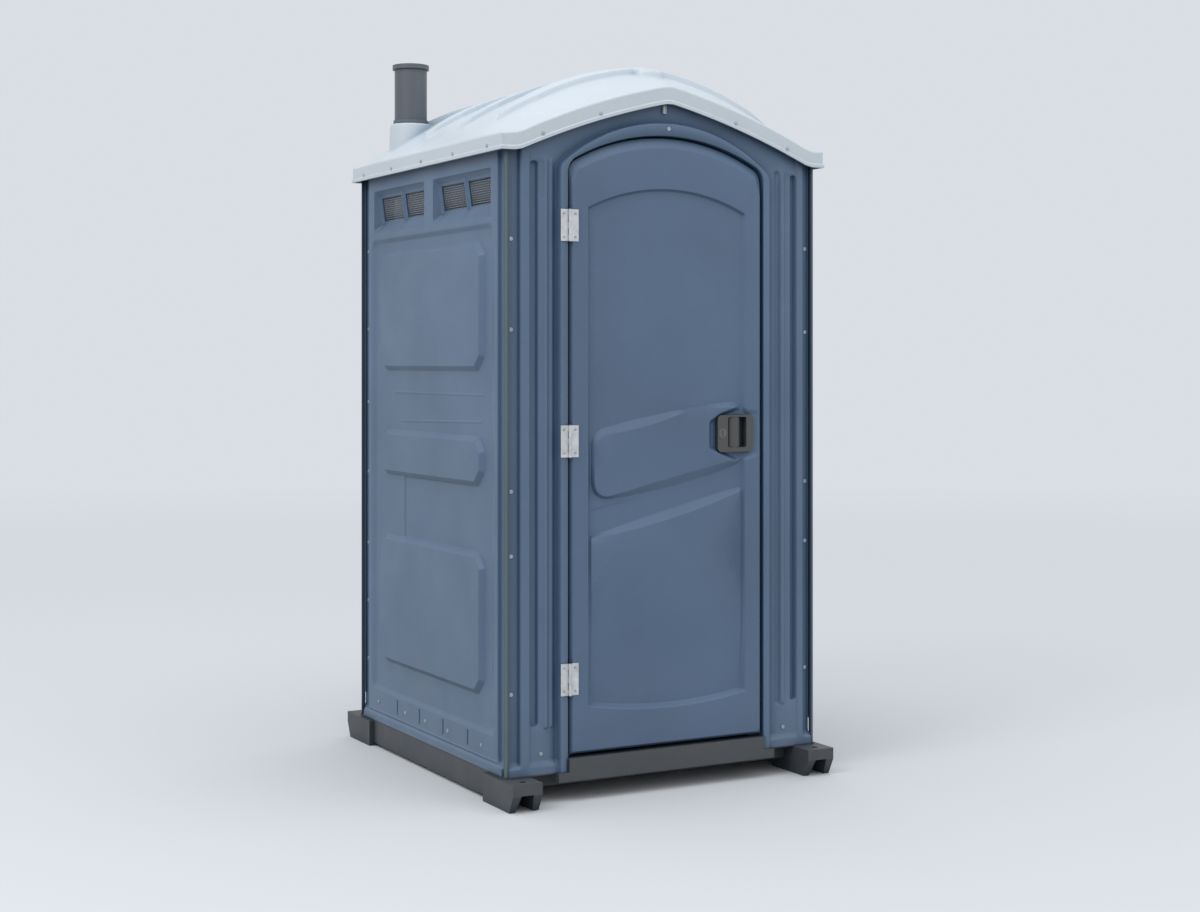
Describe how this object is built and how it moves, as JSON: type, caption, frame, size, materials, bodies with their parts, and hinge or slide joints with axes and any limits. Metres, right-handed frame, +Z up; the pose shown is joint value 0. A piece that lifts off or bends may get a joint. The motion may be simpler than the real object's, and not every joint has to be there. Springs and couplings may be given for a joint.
{
  "type": "portable toilet cabin",
  "caption": "Moulded plastic portable toilet cabin with outward door, coin-slot latch, gable roof, side vents, vent pipe, holding tank, lidded seat and skids.",
  "frame": {"origin": "centre of the object's bounding box in plan, on the ground", "axes": "+Z up, front face with the door towards -Y, +X towards the door's latch side"},
  "size_m": [1.155, 1.334, 2.331],
  "materials": {
    "blue_grey_plastic": "soft satin, moulded",
    "door_plastic": "soft satin, moulded",
    "post_plastic": "satin",
    "roof_plastic": "soft satin, translucent white",
    "dark_plastic": "matt, scuffed",
    "floor_plastic": "matt",
    "tank_plastic": "satin",
    "pipe_plastic": "satin",
    "boot_rubber": "matt",
    "screen_mesh": "matt",
    "hinge_metal": "powder coat",
    "bare_steel": "brushed",
    "latch_plastic": "satin",
    "seat_plastic": "gloss",
    "urinal_plastic": "satin",
    "rivet_metal": "satin"
  },
  "bodies": {
    "cabin": {"apex_clip": "rivet_metal", "bearer_front": "dark_plastic", "bearer_middle": "dark_plastic", "bearer_rear": "dark_plastic", "coat_hook": "bare_steel", "corner_post_front_left": "post_plastic", "corner_post_front_right": "post_plastic", "corner_post_rear_left": "post_plastic", "corner_post_rear_right": "post_plastic", "floor_bolts": "rivet_metal", "floor_pan": "floor_plastic", "frame_hinge_rivets": "rivet_metal", "front_frame": "blue_grey_plastic", "hinge_lower_frame_leaf": "hinge_metal", "hinge_middle_frame_leaf": "hinge_metal", "hinge_pins": "bare_steel", "hinge_upper_frame_leaf": "hinge_metal", "left_wall": "blue_grey_plastic", "lid_hinge_pins": "bare_steel", "paper_holder": "tank_plastic", "rear_wall": "blue_grey_plastic", "right_wall": "blue_grey_plastic", "roof": "roof_plastic", "roof_screws": "rivet_metal", "skid_left": "dark_plastic", "skid_right": "dark_plastic", "strike_plate": "bare_steel", "tank": "tank_plastic", "tank_deck": "tank_plastic", "toilet_seat": "seat_plastic", "urinal": "urinal_plastic", "urinal_drain": "tank_plastic", "vent_pipe": "pipe_plastic", "vent_pipe_boot": "boot_rubber", "vent_pipe_rim": "pipe_plastic", "vent_screen_left_a": "screen_mesh", "vent_screen_left_b": "screen_mesh", "vent_screen_right_a": "screen_mesh", "vent_screen_right_b": "screen_mesh", "wall_rivets": "rivet_metal"},
    "door": {"door_outer_skin": "door_plastic", "door_inner_skin": "door_plastic", "hinge_lower_door_leaf": "hinge_metal", "hinge_middle_door_leaf": "hinge_metal", "hinge_upper_door_leaf": "hinge_metal", "door_hinge_rivets": "rivet_metal", "latch_housing": "latch_plastic", "latch_grip": "latch_plastic", "latch_cover": "latch_plastic"},
    "lock": {"latch_spindle": "bare_steel", "latch_pinion": "bare_steel", "latch_knob": "latch_plastic"},
    "bolt": {"latch_bolt": "bare_steel"},
    "lid": {"toilet_lid": "seat_plastic"}
  },
  "joints": [
    {"name": "door_swing", "type": "hinge", "parent": "cabin", "child": "door", "pos_m": [-0.346, -0.6013, 1.081], "axis": [0, 0, -1], "range_deg": [0, 100]},
    {"name": "lock_turn", "type": "hinge", "parent": "door", "child": "lock", "pos_m": [0.196, -0.56, 1.096], "axis": [0, 1, 0], "range_deg": [0, 90]},
    {"name": "bolt_slide", "type": "slide", "parent": "door", "child": "bolt", "axis": [1, 0, 0], "range_m": [0, 0.01885]},
    {"name": "lid_fold", "type": "hinge", "parent": "cabin", "child": "lid", "pos_m": [0, 0.51, 0.485], "axis": [-1, 0, 0], "range_deg": [-94, 0]}
  ],
  "couplings": [
    {"joint": "lock_turn", "follows": "bolt_slide", "rad_per_m": 83.333}
  ]
}
